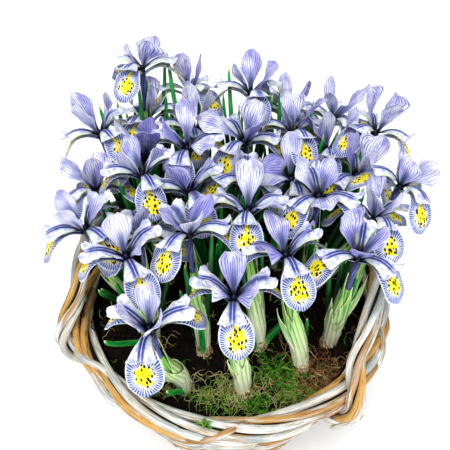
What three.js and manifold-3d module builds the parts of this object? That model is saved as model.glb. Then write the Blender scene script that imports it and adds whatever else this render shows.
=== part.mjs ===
// A round willow basket planted with dwarf netted irises in full flower.
// Millimetres, +Z up. The origin is the middle of the basket's underside, and -Y is the front.
import * as THREE from "three";
import { mergeVertices } from "three/addons/utils/BufferGeometryUtils.js";
import Module from "manifold-3d";

const wasm = await Module();
wasm.setup();

// Driving dimensions of the basket
const GAP = 0.4; // air left between neighbouring pieces
const BASE_RADIUS = 81;
const BASE_THICK = 8;
const WALL_FOOT_RADIUS = 76; // middle of the weave where it leaves the base
const WALL_HEAD_RADIUS = 112; // middle of the weave under the rim
const WALL_TOP = 108;
const WALL_HALF_THICK = 2.6;
const WEAVE_SWING = 2.2; // how far a weaver steps in front of or behind a stake
const WEAVE_GROOVE = 1.4;
const STAKES = 16;
const WEAVE_ROWS = 10;
const RIM_RADIUS = 114;
const RIM_HALF = 9.4; // half the thickness of the rolled border
const RIM_TURNS = 5;
const HANDLE_TURN = -15; // degrees from +X to the middle of the right ear handle
const HANDLE_SPREAD = 34; // degrees from the middle of a handle to each foot
const HANDLE_FOOT = 88; // height of the lashed feet
const HANDLE_TOP = 163; // height of the middle of the arch
const HANDLE_HALF = 7;
const HANDLE_PRESS = 1.4; // how far the handle is pulled into the rods of the rim
const LINER_WALL = 1.4;
const LINER_TOP = 112;
const LINER_WIDEST = 103.8;
const LINER_CLEAR = 2.2; // free space between the weave and the liner
const SOIL_EDGE = 103;
const SOIL_CROWN = 112;
const SOIL_LUMP = 1.3;

// Driving dimensions of the irises
const HEART_HEIGHT = 198; // where a flower's parts meet, above the table
const TUBE_LENGTH = 30; // slender flower tube between the sheath and the heart
const LEAN_SHARE = 0.6; // how far a flower's tube follows the slant from its bulb to its heart
const ROOT_SHARE = 0.8; // how far out a leaf's bulb is looked for, as a share of the way out to its tip
const BULB_RADIUS = 10;
const BULB_DEPTH = 24;
const BULB_SIDES = 6;
const SHEATH_HALF = 5.6;
const SHEATH_SUNK = 8; // how deep in the bulb a sheath starts
const SHEATH_RISE = 36; // a sheath leaves the bulb straight up, and this is the pull of that on its curve
const LEAF_HALF = 2.6;
const LEAF_TIP_HALF = 0.7;
const LEAF_SUNK = 6;
const PETAL_HALF_THICK = 0.45;

// The flowers, placed by eye: right, back, rise over the heart height, and the degrees that one fall points to
const FLOWERS = [
  [-47, -90, -6, 265],
  [3, -70, -2, 268],
  [36, -40, 4, 285],
  [82, -38, 3, 198],
  [-66, -40, 2, 46],
  [-27, -24, 8, 240],
  [12, -4, 2, 260],
  [-98, -8, -4, 185],
  [-28, 20, 0, 290],
  [60, 8, 6, 275],
  [100, 4, -4, 0],
  [-62, 30, 6, 188],
  [10, 36, 8, 290],
  [45, 46, 0, 280],
  [92, 46, 4, 270],
  [-98, 36, -2, 170],
  [-32, 60, 6, 275],
  [10, 74, 2, 265],
  [48, 86, 8, 260],
  [76, 84, -2, 265],
  [-66, 72, 0, 210],
  [-98, 78, 6, 150],
  [-30, 98, 0, 280],
  [16, 118, 22, 270],
  [-66, 112, 8, 250],
  [46, 122, 0, 275],
  [82, 112, 8, 280],
  [-34, 136, 6, 90],
  [-62, -5, -8, 100],
  [120, 28, 0, 350],
  [110, 84, 4, 30],
  [-70, 124, 34, 250],
];
const TURN_PLAY_FRONT = 20; // degrees that a flower may turn from its place to keep clear of its neighbours
const TURN_PLAY_BACK = 54;
const RISE_PLAY = 6;

// The bulbs, placed by eye: right, back, and which of the flowers grow from each, counted from 1.
// The front ones are where the pale sheaths leave the soil.
const BULBS = [
  [-30, -75, [1]],
  [11, -79, [2]],
  [-18, -46, [6]],
  [22, -42, [7]],
  [53, -58, [3]],
  [74, -34, [4, 11]],
  [-56, -38, [5, 29]],
  [-72, -4, [8, 16]],
  [-50, 24, [12]],
  [-12, 14, [9, 13]],
  [60, 8, [10, 30]],
  [38, 38, [14, 19]],
  [70, 44, [15, 20, 31]],
  [-60, 54, [21, 22, 32]],
  [-26, 60, [17, 23, 25, 28]],
  [8, 62, [18, 24]],
  [42, 70, [26, 27]],
];

// The tips of the leaves, placed by eye between the flowers
const LEAF_TIPS = [
  [-100, 92, 232],
  [-50, 134, 252],
  [-44, 78, 226],
  [-8, 80, 228],
  [28, 130, 243],
  [64, 104, 230],
  [14, 14, 228],
  [-6, 12, 205],
  [56, -38, 168],
  [88, -26, 172],
  [-82, -72, 158],
  [-40, -98, 140],
  [-78, -6, 206],
  [-48, -8, 196],
  [30, 10, 200],
  [74, 44, 222],
  [-80, 46, 214],
  [98, 62, 216],
  [12, -50, 150],
  [-20, -54, 170],
  [38, 114, 234],
  [-2, 132, 242],
];

const UP = new THREE.Vector3(0, 0, 1);
const radians = THREE.MathUtils.degToRad;
const mix = THREE.MathUtils.lerp;

const petalPaint = new THREE.MeshStandardMaterial({ color: 0xb9bbe6, roughness: 0.55 });
const leafPaint = new THREE.MeshStandardMaterial({ color: 0x5d9a3c, roughness: 0.5 });
const willowPaint = new THREE.MeshStandardMaterial({ color: 0xcbb68f, roughness: 0.8 });
const soilPaint = new THREE.MeshStandardMaterial({ color: 0x2b2018, roughness: 0.95 });
const linerPaint = new THREE.MeshStandardMaterial({ color: 0x4a4b47, roughness: 0.9 });

function polar(radius, degrees, z) {
  return new THREE.Vector3(radius * Math.cos(radians(degrees)), radius * Math.sin(radians(degrees)), z);
}

function meshOf(positions, index) {
  const geometry = new THREE.BufferGeometry();
  geometry.setAttribute("position", new THREE.Float32BufferAttribute(positions, 3));
  geometry.setIndex(index);
  return geometry;
}

// A closed surface through rings of points, which turn counter-clockwise as seen from the last ring
function skin(rings, closed = false) {
  const n = rings[0].length;
  const index = [];
  const last = closed ? rings.length : rings.length - 1;
  for (let i = 0; i < last; i++) {
    const a = i * n;
    const b = ((i + 1) % rings.length) * n;
    for (let k = 0; k < n; k++) {
      const m = (k + 1) % n;
      index.push(a + k, a + m, b + m, a + k, b + m, b + k);
    }
  }
  if (!closed) {
    const top = (rings.length - 1) * n;
    for (let k = 1; k < n - 1; k++) {
      index.push(0, k + 1, k);
      index.push(top, top + k, top + k + 1);
    }
  }
  return meshOf(rings.flat().flatMap((p) => [p.x, p.y, p.z]), index);
}

function solidOf(geometry) {
  const bare = geometry.clone();
  bare.deleteAttribute("normal");
  bare.deleteAttribute("uv");
  const merged = mergeVertices(bare, 1e-4);
  return new wasm.Manifold(
    new wasm.Mesh({
      numProp: 3,
      vertProperties: merged.attributes.position.array,
      triVerts: new Uint32Array(merged.index.array),
    }),
  );
}

function geometryOf(solid) {
  const mesh = solid.getMesh();
  const positions = [];
  for (let i = 0; i < mesh.numVert; i++) {
    positions.push(...mesh.vertProperties.subarray(i * mesh.numProp, i * mesh.numProp + 3));
  }
  return meshOf(positions, Array.from(mesh.triVerts));
}

// Rings of a rod along a curve. Every second point lies lobeDepth lower, and the section twists along the rod.
function rodRings(curve, steps, sides, halfWidth, side, lobeDepth = 0, twist = 0) {
  const rings = [];
  for (let i = 0; i <= steps; i++) {
    const u = i / steps;
    const at = curve.getPoint(u);
    const along = curve.getTangent(u);
    const a = side.clone().addScaledVector(along, -side.dot(along)).normalize();
    const b = new THREE.Vector3().crossVectors(along, a);
    const ring = [];
    for (let k = 0; k < sides; k++) {
      const angle = (2 * Math.PI * k) / sides + twist * u;
      const radius = halfWidth(u) * (k % 2 ? 1 - lobeDepth : 1);
      const point = at.clone().addScaledVector(a, radius * Math.cos(angle));
      ring.push(point.addScaledVector(b, radius * Math.sin(angle)));
    }
    rings.push(ring);
  }
  return rings;
}

// A turned solid from half its outline, as [radius, height] pairs from the axis out and back
function turned(outline, sides) {
  const profile = outline.map(([r, z]) => new THREE.Vector2(r, z));
  return new THREE.LatheGeometry(profile, sides).rotateX(Math.PI / 2);
}

// The basket

function wallRadius(z) {
  return mix(WALL_FOOT_RADIUS, WALL_HEAD_RADIUS, (z - BASE_THICK) / (WALL_TOP - BASE_THICK));
}

// Weavers pass in front of and behind the stakes by turns, and each row swaps. A stake has a column of points.
function basketWall(extra = 0) {
  const bottom = BASE_THICK + GAP;
  const rowHeight = (WALL_TOP - bottom) / WEAVE_ROWS;
  const columns = [];
  for (let c = 0; c < STAKES; c++) {
    const outside = [];
    const inside = [];
    for (let level = 0; level <= 2 * WEAVE_ROWS; level++) {
      const z = bottom + (level * rowHeight) / 2;
      const row = (level - 1) / 2;
      const onRow = level % 2 === 1;
      const swing = onRow ? WEAVE_SWING * ((row + c) % 2 ? 1 : -1) : 0;
      const half = WALL_HALF_THICK + extra - (onRow ? 0 : WEAVE_GROOVE);
      const azimuth = (360 * c) / STAKES;
      outside.push(polar(wallRadius(z) + swing + half, azimuth, z));
      inside.push(polar(wallRadius(z) + swing - half, azimuth, z));
    }
    columns.push([...inside, ...outside.reverse()]);
  }
  return skin(columns, true);
}

// A flat woven disc with a rounded edge
function basketBase() {
  const edge = BASE_THICK / 2;
  const outline = [
    [0, 0],
    [BASE_RADIUS - edge, 0],
    [BASE_RADIUS, edge],
    [BASE_RADIUS - edge, BASE_THICK],
    [0, BASE_THICK],
  ];
  return turned(outline, 32);
}

// Thick rods rolled round each other into the border
function basketRim(extra = 0) {
  const steps = 50;
  const sides = 6;
  const height = WALL_TOP + GAP + RIM_HALF;
  const rings = [];
  for (let i = 0; i < steps; i++) {
    const ring = [];
    for (let k = 0; k < sides; k++) {
      const angle = (2 * Math.PI * k) / sides + (2 * Math.PI * RIM_TURNS * i) / steps;
      const radius = RIM_HALF * (k % 2 ? 0.8 : 1) + extra;
      const out = RIM_RADIUS + radius * Math.cos(angle);
      ring.push(polar(out, (360 * i) / steps, height - radius * Math.sin(angle)));
    }
    rings.push(ring);
  }
  return skin(rings, true);
}

// An ear handle: a twist of rods, lashed outside the weave, that bends in over the rim and arches to its other foot
function earHandle(turn, extra = 0) {
  const footRadius = wallRadius(HANDLE_FOOT) + WALL_HALF_THICK + HANDLE_HALF;
  const rimSide = RIM_RADIUS + RIM_HALF + HANDLE_HALF - HANDLE_PRESS;
  // One half from its foot up: [share of the spread, radius, height]
  const half = [
    [1, footRadius, HANDLE_FOOT],
    [1, rimSide, WALL_TOP + 8],
    [0.94, rimSide - 6, WALL_TOP + 23],
    [0.8, rimSide - 15, WALL_TOP + 34],
    [0.45, rimSide - 20, HANDLE_TOP - 8],
  ];
  const points = [
    ...half.map(([share, r, z]) => polar(r, turn - share * HANDLE_SPREAD, z)),
    polar(rimSide - 22, turn, HANDLE_TOP),
    ...half.reverse().map(([share, r, z]) => polar(r, turn + share * HANDLE_SPREAD, z)),
  ];
  const curve = new THREE.CatmullRomCurve3(points, false, "centripetal");
  const twist = solidOf(skin(rodRings(curve, 20, 6, () => HANDLE_HALF + extra, polar(1, turn, 0), 0.2, 14)));
  return keepClear(twist, [solidOf(basketRim(GAP)), solidOf(basketWall(GAP))]);
}

function linerRadius(z) {
  return Math.min(wallRadius(z) - WALL_HALF_THICK - WEAVE_SWING - LINER_CLEAR, LINER_WIDEST);
}

// Thin open cup that stands inside the weave and ends inside the rim
function liner() {
  const floor = BASE_THICK + GAP;
  const shoulder = WALL_TOP - 4;
  const outline = [
    [0, floor],
    [linerRadius(floor), floor],
    [linerRadius(shoulder), shoulder],
    [linerRadius(LINER_TOP), LINER_TOP],
    [linerRadius(LINER_TOP) - LINER_WALL, LINER_TOP],
    [linerRadius(shoulder) - LINER_WALL, shoulder],
    [linerRadius(floor + LINER_WALL) - LINER_WALL, floor + LINER_WALL],
    [0, floor + LINER_WALL],
  ];
  return turned(outline, 24);
}

function soilSide(z) {
  return linerRadius(z) - LINER_WALL - GAP;
}

function soilTop(x, y) {
  const out = Math.min(Math.hypot(x, y) / soilSide(SOIL_EDGE), 1);
  const lumps = SOIL_LUMP * Math.sin(x / 11 + 1) * Math.cos(y / 9) * (1 - out);
  return mix(SOIL_CROWN, SOIL_EDGE, out * out) + lumps;
}

// Potting soil that fills the liner, with a plain hole for each bulb
function soil(bulbs) {
  const floor = BASE_THICK + 2 * GAP + LINER_WALL;
  const rings = 3;
  const outline = [[0, floor], [soilSide(floor), floor]];
  for (let k = rings; k >= 0; k--) {
    outline.push([(soilSide(SOIL_EDGE) * k) / rings, SOIL_EDGE]);
  }
  const geometry = turned(outline, 24);
  const at = geometry.attributes.position;
  for (let i = 0; i < at.count; i++) {
    if (at.getZ(i) > floor + 1) {
      at.setZ(i, soilTop(at.getX(i), at.getY(i)));
    }
  }
  let solid = solidOf(geometry);
  const holeRadius = BULB_RADIUS + GAP / Math.cos(Math.PI / BULB_SIDES);
  const depth = BULB_DEPTH + 30;
  for (const { nose } of bulbs) {
    const hole = new THREE.CylinderGeometry(holeRadius, holeRadius, depth, BULB_SIDES)
      .rotateX(Math.PI / 2)
      .translate(nose.x, nose.y, nose.z - BULB_DEPTH - GAP + depth / 2);
    solid = solid.subtract(solidOf(hole));
  }
  return geometryOf(solid);
}

// The irises

// A flower's heart, the way its axis leans, and the point just under the foot of its tube
function placeFlower(bulb, x, y, rise, turn) {
  const heart = new THREE.Vector3(x, y, HEART_HEIGHT + rise);
  const slant = heart.clone().sub(bulb.nose).normalize();
  const axis = UP.clone().lerp(slant, LEAN_SHARE).normalize();
  return { heart, axis, turn, foot: heart.clone().addScaledVector(axis, -TUBE_LENGTH - GAP) };
}

// Each flower turns and rises a little, to where its petals run least into those of the flowers before it
function settleFlowers(bulbs) {
  const settled = [];
  const taken = [];
  for (const [x, y, rise, turn] of FLOWERS) {
    const bulb = bulbs.find(({ numbers }) => numbers.includes(settled.length + 1));
    const play = y < 0 ? TURN_PLAY_FRONT : TURN_PLAY_BACK;
    let best = null;
    for (const lift of [0, RISE_PLAY, -RISE_PLAY]) {
      for (const swing of [0, 0.25, -0.25, 0.5, -0.5, 0.75, -0.75, 1, -1]) {
        const place = placeFlower(bulb, x, y, rise + lift, turn + swing * play);
        const petals = flower(place);
        const crossing = taken.reduce((sum, other) => sum + petals.intersect(other).volume(), 0);
        if (!best || crossing < best.crossing - 1) {
          best = { place, crossing };
        }
      }
    }
    bulb.members.push(best.place);
    settled.push(best.place);
    taken.push(flower(best.place, GAP));
  }
  return settled;
}

// Every bulb with its nose at the soil, and each leaf tip at the bulb nearest to ROOT_SHARE of the way out to it
function plantBulbs() {
  const bulbs = BULBS.map(([x, y, numbers]) => {
    return { nose: new THREE.Vector3(x, y, soilTop(x, y)), numbers, members: [], tips: [] };
  });
  for (const [x, y, z] of LEAF_TIPS) {
    const apart = ({ nose }) => Math.hypot(nose.x - ROOT_SHARE * x, nose.y - ROOT_SHARE * y);
    const home = bulbs.reduce((best, bulb) => (apart(bulb) < apart(best) ? bulb : best));
    home.tips.push(new THREE.Vector3(x, y, z));
  }
  return bulbs;
}

// Direction from a bulb towards a point, level with the ground
function levelWay(nose, point) {
  return new THREE.Vector3(point.x - nose.x, point.y - nose.y, 0).normalize();
}

// The pale sheath round one shoot, from inside the bulb to the foot of the flower's tube
function sheath(nose, flower, extra) {
  const start = nose.clone().addScaledVector(levelWay(nose, flower.foot), 1.5).setZ(nose.z - SHEATH_SUNK);
  const curve = new THREE.CubicBezierCurve3(
    start,
    start.clone().addScaledVector(UP, SHEATH_RISE),
    flower.foot.clone().addScaledVector(flower.axis, -0.7 * SHEATH_RISE),
    flower.foot,
  );
  const swelling = [0.75, 1, 0.9, 0.42]; // half width at four stations, as shares of the full one
  const halfWidth = (u) => SHEATH_HALF * swelling[Math.round(3 * u)] + extra;
  return skin(rodRings(curve, 3, 6, halfWidth, polar(1, 0, 0)));
}

// A four-angled leaf that tapers to its tip
function leaf(nose, tip, extra) {
  const start = nose.clone().addScaledVector(levelWay(nose, tip), 3).setZ(nose.z - LEAF_SUNK);
  const curve = new THREE.CubicBezierCurve3(
    start,
    start.clone().addScaledVector(UP, 0.4 * (tip.z - nose.z)),
    tip.clone().lerp(start, 0.12).setZ(mix(nose.z, tip.z, 0.65)),
    tip,
  );
  const halfWidth = (u) => mix(LEAF_HALF, LEAF_TIP_HALF, u ** 4) + extra;
  return skin(rodRings(curve, 3, 4, halfWidth, polar(1, 45, 0)));
}

// One bulb with its sheaths and leaves in one body. Extra fattens it all round.
function shoots({ nose, members, tips }, extra = 0) {
  const full = BULB_RADIUS + extra;
  const outline = [
    [0, -BULB_DEPTH - extra],
    [0.7 * full, -BULB_DEPTH - extra],
    [full, -0.3 * BULB_DEPTH],
    [0.5 * full, 3],
    [0, 4],
  ];
  let solid = solidOf(turned(outline, BULB_SIDES).translate(nose.x, nose.y, nose.z));
  for (const member of members) {
    solid = solid.add(solidOf(sheath(nose, member, extra)));
  }
  for (const tip of tips) {
    solid = solid.add(solidOf(leaf(nose, tip, extra)));
  }
  return solid;
}

// Stations along the petals in the flower's own frame: [distance out, height, half width]
const FALL = [
  [12.5, 4, 3.4],
  [20.5, 3.2, 8.4],
  [28, -2.6, 10],
  [33.5, -9.5, 5.5],
];
const STYLE_ARM = [
  [16, 10.8, 5.6],
  [27.5, 8.5, 8.2],
];
const STANDARD = [
  [9, 21, 4.8],
  [15, 38, 6.2],
];

// Rings of the six-sided core: [radius, height]
const CORE = [
  [1.7, -TUBE_LENGTH],
  [3.4, -3],
  [3.6, 2],
  [3.2, 6],
];

// A whole flower as one surface: the side faces of a six-sided core grow out into petals. Extra fattens it.
function flower({ heart, axis, turn }, extra = 0) {
  const points = [];
  const index = [];
  const quad = (a, b, c, d) => index.push(a, b, c, a, c, d);
  const rings = CORE.map(([radius, z], level) => {
    const wide = radius + (level < 3 ? extra : 0);
    const end = extra * [-1, 0, 0, 2][level];
    return [0, 1, 2, 3, 4, 5].map((k) => points.push(polar(wide, 60 * k - 30, z + end)) - 1);
  });
  // A blade grows from the face between two neighbouring corners of two rings
  const blade = (low, high, k, stations) => {
    const m = (k + 1) % 6;
    const thick = PETAL_HALF_THICK + extra;
    let from = [rings[low][k], rings[low][m], rings[high][m], rings[high][k]];
    stations.forEach(([out, height, half], i) => {
      const before = i ? stations[i - 1] : CORE[low];
      const after = stations[Math.min(i + 1, stations.length - 1)];
      const slope = Math.atan2(after[1] - before[1], after[0] - before[0]);
      const end = i === stations.length - 1 ? extra : 0;
      const corners = [[-1, -1], [1, -1], [1, 1], [-1, 1]].map(([side, face]) => {
        const r = out + end - face * thick * Math.sin(slope);
        const point = new THREE.Vector3(r, side * (half + extra), height + face * thick * Math.cos(slope));
        return points.push(point.applyAxisAngle(UP, radians(60 * k))) - 1;
      });
      quad(from[0], from[1], corners[1], corners[0]);
      quad(from[1], from[2], corners[2], corners[1]);
      quad(from[3], corners[3], corners[2], from[2]);
      quad(from[3], from[0], corners[0], corners[3]);
      from = corners;
    });
    quad(...from);
  };
  for (let k = 0; k < 6; k++) {
    const m = (k + 1) % 6;
    quad(rings[0][k], rings[0][m], rings[1][m], rings[1][k]);
    if (k % 2) {
      quad(rings[1][k], rings[1][m], rings[2][m], rings[2][k]);
      blade(2, 3, k, STANDARD);
    } else {
      blade(1, 2, k, FALL);
      blade(2, 3, k, STYLE_ARM);
    }
  }
  for (let k = 1; k < 5; k++) {
    index.push(rings[0][0], rings[0][k + 1], rings[0][k]);
    index.push(rings[3][0], rings[3][k], rings[3][k + 1]);
  }
  const stand = new THREE.Quaternion().setFromUnitVectors(UP, axis);
  stand.multiply(new THREE.Quaternion().setFromAxisAngle(UP, radians(turn)));
  const placed = points.map((point) => point.applyQuaternion(stand).add(heart));
  return solidOf(meshOf(placed.flatMap((p) => [p.x, p.y, p.z]), index));
}

// What is left of a solid in one piece once it keeps clear of those that were there first
function keepClear(solid, others) {
  let rest = solid;
  for (const other of others) {
    rest = rest.subtract(other);
  }
  const pieces = rest.decompose();
  return pieces.reduce((best, piece) => (piece.volume() > best.volume() ? piece : best));
}

const group = new THREE.Group();

function addPiece(name, geometry, material) {
  const mesh = new THREE.Mesh(geometry, material);
  mesh.name = name;
  group.add(mesh);
}

const bulbs = plantBulbs();
const flowers = settleFlowers(bulbs);

addPiece("basket_base", basketBase(), willowPaint);
addPiece("basket_wall", basketWall(), willowPaint);
addPiece("basket_rim", basketRim(), willowPaint);
addPiece("handle_right", geometryOf(earHandle(HANDLE_TURN)), willowPaint);
addPiece("handle_left", geometryOf(earHandle(HANDLE_TURN + 180)), willowPaint);
addPiece("liner", liner(), linerPaint);
addPiece("soil", soil(bulbs), soilPaint);

const taken = [earHandle(HANDLE_TURN, GAP), earHandle(HANDLE_TURN + 180, GAP)];
bulbs.forEach((bulb, i) => {
  addPiece(`shoots_${i + 1}`, geometryOf(keepClear(shoots(bulb), taken)), leafPaint);
  taken.push(shoots(bulb, GAP));
});
flowers.forEach((place, i) => {
  addPiece(`flower_${i + 1}`, geometryOf(keepClear(flower(place), taken)), petalPaint);
  taken.push(flower(place, GAP));
});

export default group;
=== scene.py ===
import bpy
import numpy as np
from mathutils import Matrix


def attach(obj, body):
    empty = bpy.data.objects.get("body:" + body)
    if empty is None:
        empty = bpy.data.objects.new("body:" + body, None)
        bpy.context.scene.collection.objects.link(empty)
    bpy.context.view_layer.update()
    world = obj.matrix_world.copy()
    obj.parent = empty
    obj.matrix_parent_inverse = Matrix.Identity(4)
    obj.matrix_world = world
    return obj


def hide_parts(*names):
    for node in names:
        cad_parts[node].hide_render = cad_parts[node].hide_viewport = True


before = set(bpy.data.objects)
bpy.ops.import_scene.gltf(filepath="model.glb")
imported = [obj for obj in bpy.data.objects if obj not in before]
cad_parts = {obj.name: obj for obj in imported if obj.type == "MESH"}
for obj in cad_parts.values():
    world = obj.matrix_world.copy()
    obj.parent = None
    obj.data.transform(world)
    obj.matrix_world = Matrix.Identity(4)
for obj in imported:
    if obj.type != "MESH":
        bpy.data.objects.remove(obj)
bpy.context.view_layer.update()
toMetres = 0.001  # every array below is in millimetres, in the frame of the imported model
fullTurn = 2 * np.pi
sideways, upward = np.array([1.0, 0.0, 0.0]), np.array([0.0, 0.0, 1.0])
ownApart = 300  # the pattern of a rod or leaf starts this much times its own number further along
ownRange = (0, 90)  # the range of the own numbers of petals and sheaths
print("frame loaded:", len(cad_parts), "nodes")

# Arrays


def unit(vectors):
    return vectors / np.maximum(np.linalg.norm(vectors, axis=-1, keepdims=True), 1e-9)


# 0 below low, 1 above high, and 3t² - 2t³ between them
def rise(value, low, high):
    t = np.clip((value - low) / (high - low), 0, 1)
    return t * t * (3 - 2 * t)


# 1 along a path, falling to 0 at its ends over the first and the last of these shares
def taper(share, first, last):
    return rise(share, 0, first) * rise(1 - share, 0, last)


# Angles spread evenly over a full turn
def around(count):
    return np.arange(count) * fullTurn / count


# Point at an angle round the Z axis: (r cos a, r sin a, z)
def polar(radius, angle, z):
    radius, angle, z = np.broadcast_arrays(radius, angle, z)
    return np.stack([radius * np.cos(angle), radius * np.sin(angle), z], axis=-1)


# Unit vector at an angle from a towards b: a cos t + b sin t
def aside(angle, a, b):
    return np.cos(angle)[..., None] * a + np.sin(angle)[..., None] * b


# Distance gone along a path at each of its points
def gone(path):
    steps = np.diff(path, axis=-2, prepend=path[..., :1, :])
    return np.linalg.norm(steps, axis=-1).cumsum(axis=-1)


# Two directions square to a path and to each other: the first is the nearest to side
def squareTo(path, side):
    tangent = unit(np.gradient(path, axis=-2))
    side = np.broadcast_to(side, path.shape)
    a = unit(side - tangent * (side * tangent).sum(-1, keepdims=True))
    return a, np.cross(tangent, a)


# Smooth curve through points: cubic Hermite pieces over knots spaced by the root of each gap,
# with the slope at a knot taken from its neighbours. Any further columns are carried along.
def curveThrough(points, count):
    points = np.asarray(points, float)
    gaps = np.linalg.norm(np.diff(points[:, :3], axis=0), axis=1)
    knots = np.concatenate([[0], np.cumsum(gaps**0.5)])
    slopes = np.gradient(points, knots, axis=0)
    t = np.linspace(0, knots[-1], count)
    k = np.clip(np.searchsorted(knots, t, side="right") - 1, 0, len(knots) - 2)
    step = (knots[k + 1] - knots[k])[:, None]
    u = (t - knots[k])[:, None] / step
    atKnots = (2 * u**3 - 3 * u**2 + 1) * points[k] + (3 * u**2 - 2 * u**3) * points[k + 1]
    bySlopes = (u**3 - 2 * u**2 + u) * slopes[k] + (u**3 - u**2) * slopes[k + 1]
    return atKnots + step * bySlopes


# Cubic Bézier curve from its four points
def bezier(p0, p1, p2, p3, count):
    u = np.linspace(0, 1, count)[:, None]
    return (1 - u) ** 3 * p0 + 3 * u * (1 - u) ** 2 * p1 + 3 * u**2 * (1 - u) * p2 + u**3 * p3


# Smooth random values from -amount to amount at count places, through a few random knots
def wander(rng, count, knots, amount):
    at = np.linspace(0, knots - 1, count)
    low = np.minimum(at.astype(int), knots - 2)
    values = rng.uniform(-amount, amount, knots)
    return values[low] + (values[low + 1] - values[low]) * rise(at - low, 0, 1)


# Uneven relief over a plane: a sum of sine waves, each with its own random heading and start,
# with lengths from longest to shortest and heights that fall with them
def relief(rng, x, y, longest, shortest, waves):
    total = np.zeros(np.broadcast(x, y).shape)
    for length in np.geomspace(longest, shortest, waves):
        heading, start = rng.uniform(0, fullTurn, 2)
        phase = (x * np.cos(heading) + y * np.sin(heading)) * fullTurn / length
        total += np.sin(phase + start) * (length / longest) ** 0.8
    return total / 2


# Surfaces


# Skin over rings of points, for one or many like shapes: rings is (shapes, rings, points, 3).
# Quads join neighbouring rings. A flat end is closed across its two long sides, and a round one
# by a fan to its middle. marks holds four numbers for each point, which the materials read.
def loft(rings, marks, paint=0, flat=False):
    shapes, n, m, _ = rings.shape
    i, j = np.meshgrid(np.arange(n - 1), np.arange(m), indexing="ij")
    a, b = i * m + j, i * m + (j + 1) % m
    quads = [np.stack([a, b, b + m, a + m], axis=-1).reshape(-1, 4)]
    last = (n - 1) * m
    if flat:
        half = m // 2
        k = np.arange(1, half - 1)
        across = np.stack([k, k + 1, m - k - 1, m - k], axis=1)
        quads += [across[:, ::-1], across + last]
        tips = np.array([[0, 1, m - 1], [half - 1, half, half + 1]])
        tris = np.concatenate([tips[:, ::-1], tips + last])
        size = n * m
        points, marks = rings.reshape(-1, 3), marks.reshape(-1, 4)
    else:
        k = np.arange(m)
        foot = np.stack([np.full(m, n * m), (k + 1) % m, k], axis=1)
        head = np.stack([np.full(m, n * m + 1), last + k, last + (k + 1) % m], axis=1)
        tris = np.concatenate([foot, head])
        size = n * m + 2
        ends, endMarks = rings[:, [0, -1]].mean(axis=2), marks[:, [0, -1]].mean(axis=2)
        points = np.concatenate([rings.reshape(shapes, -1, 3), ends], axis=1).reshape(-1, 3)
        marks = np.concatenate([marks.reshape(shapes, -1, 4), endMarks], axis=1).reshape(-1, 4)
    start = (np.arange(shapes) * size)[:, None, None]
    return {
        "points": points,
        "marks": marks,
        "quads": (np.concatenate(quads)[None] + start).reshape(-1, 4),
        "tris": (tris[None] + start).reshape(-1, 3),
        "paint": paint,
    }


# Round rods along paths (shapes, steps, 3): p + r (cos t a + sin t b), where a and b are square to the path.
# Marks: the place round and along the rod as (r cos t, r sin t, length), and the rod's own number.
def rods(paths, radii, sides=8, side=upward, own=0, paint=0, shape=None):
    paths = np.asarray(paths, float)
    paths = paths if paths.ndim == 3 else paths[None]
    shapes, steps, _ = paths.shape
    radii = np.broadcast_to(np.asarray(radii, float), (shapes, steps))[..., None]
    own = np.broadcast_to(np.asarray(own, float), (shapes,))[:, None, None]
    a, b = squareTo(paths, side)
    theta = around(sides)
    swell = radii * (1 if shape is None else shape(theta))
    x, y = swell * np.cos(theta), swell * np.sin(theta)
    rings = paths[:, :, None] + x[..., None] * a[:, :, None] + y[..., None] * b[:, :, None]
    marks = np.stack(np.broadcast_arrays(x, y, gone(paths)[..., None] + ownApart * own, own), axis=-1)
    return loft(rings, marks, paint)


# Upright round body from stations [height, radius]
def upright(stations, count, sides, at=0.0, **others):
    line = curveThrough([[0, 0, *station] for station in stations], count)
    return rods(line[:, :3] + at, line[:, 3], sides, sideways, **others)


# A thin petal or leaf. profile has stations [out, height, half width]. At share s along and v across, the point
# is profile(s reach(v)) + (half v) sideways + lift(s, v) square to it, with a lens-shaped thickness. The rows
# follow s = sin t, so that they lie close at the round end.
# Marks: distance across, distance along, the blade's own number, and distance to the nearest edge.
def blade(profile, steps, columns, thick, lift, own, reach=None, paint=0):
    samples = 160
    fine = curveThrough(profile, samples)
    fine[:, 2] = np.maximum(fine[:, 2], 0.05)
    share = np.linspace(0, 1, samples)
    theta = around(2 * columns)
    v, top = np.cos(theta), np.sin(theta)
    rows = np.sin(np.linspace(0, np.pi / 2, steps))[:, None]
    s = rows * (np.ones_like(v) if reach is None else reach(v))
    slope = unit(np.gradient(fine[:, :2], axis=0))
    length = gone(fine[:, :2])
    out, height, half, along, slopeOut, slopeUp = (
        np.interp(s, share, column) for column in (*fine.T, length, *slope.T)
    )
    off = lift(s, v) + thick * top * (1 - 0.5 * s)
    rings = np.stack([out - slopeUp * off, half * v, height + slopeOut * off], axis=-1)
    edge = np.minimum((1 - abs(v)) * half, (s[-1] - s) * length[-1])
    marks = np.stack([half * v, along, np.full_like(s, own), edge], axis=-1)
    return loft(rings[None], marks[None], paint, flat=True)


# The same shape turned by a matrix and moved
def placed(part, matrix, at=(0, 0, 0)):
    return {**part, "points": part["points"] @ np.asarray(matrix).T + at}


def turnZ(angle):
    c, s = np.cos(angle), np.sin(angle)
    return np.array([[c, -s, 0], [s, c, 0], [0, 0, 1]])


# Matrix that takes +Z to the given direction by the shortest turn: I + K + K²/(1 + cos)
def standOn(direction):
    x, y, z = direction
    k = np.array([[0, 0, x], [0, 0, y], [-x, -y, 0]])
    return np.eye(3) + k + k @ k / (1 + z)


def inScene(name, data):
    item = bpy.data.objects.new(name, data)
    bpy.context.scene.collection.objects.link(item)
    return item


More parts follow.
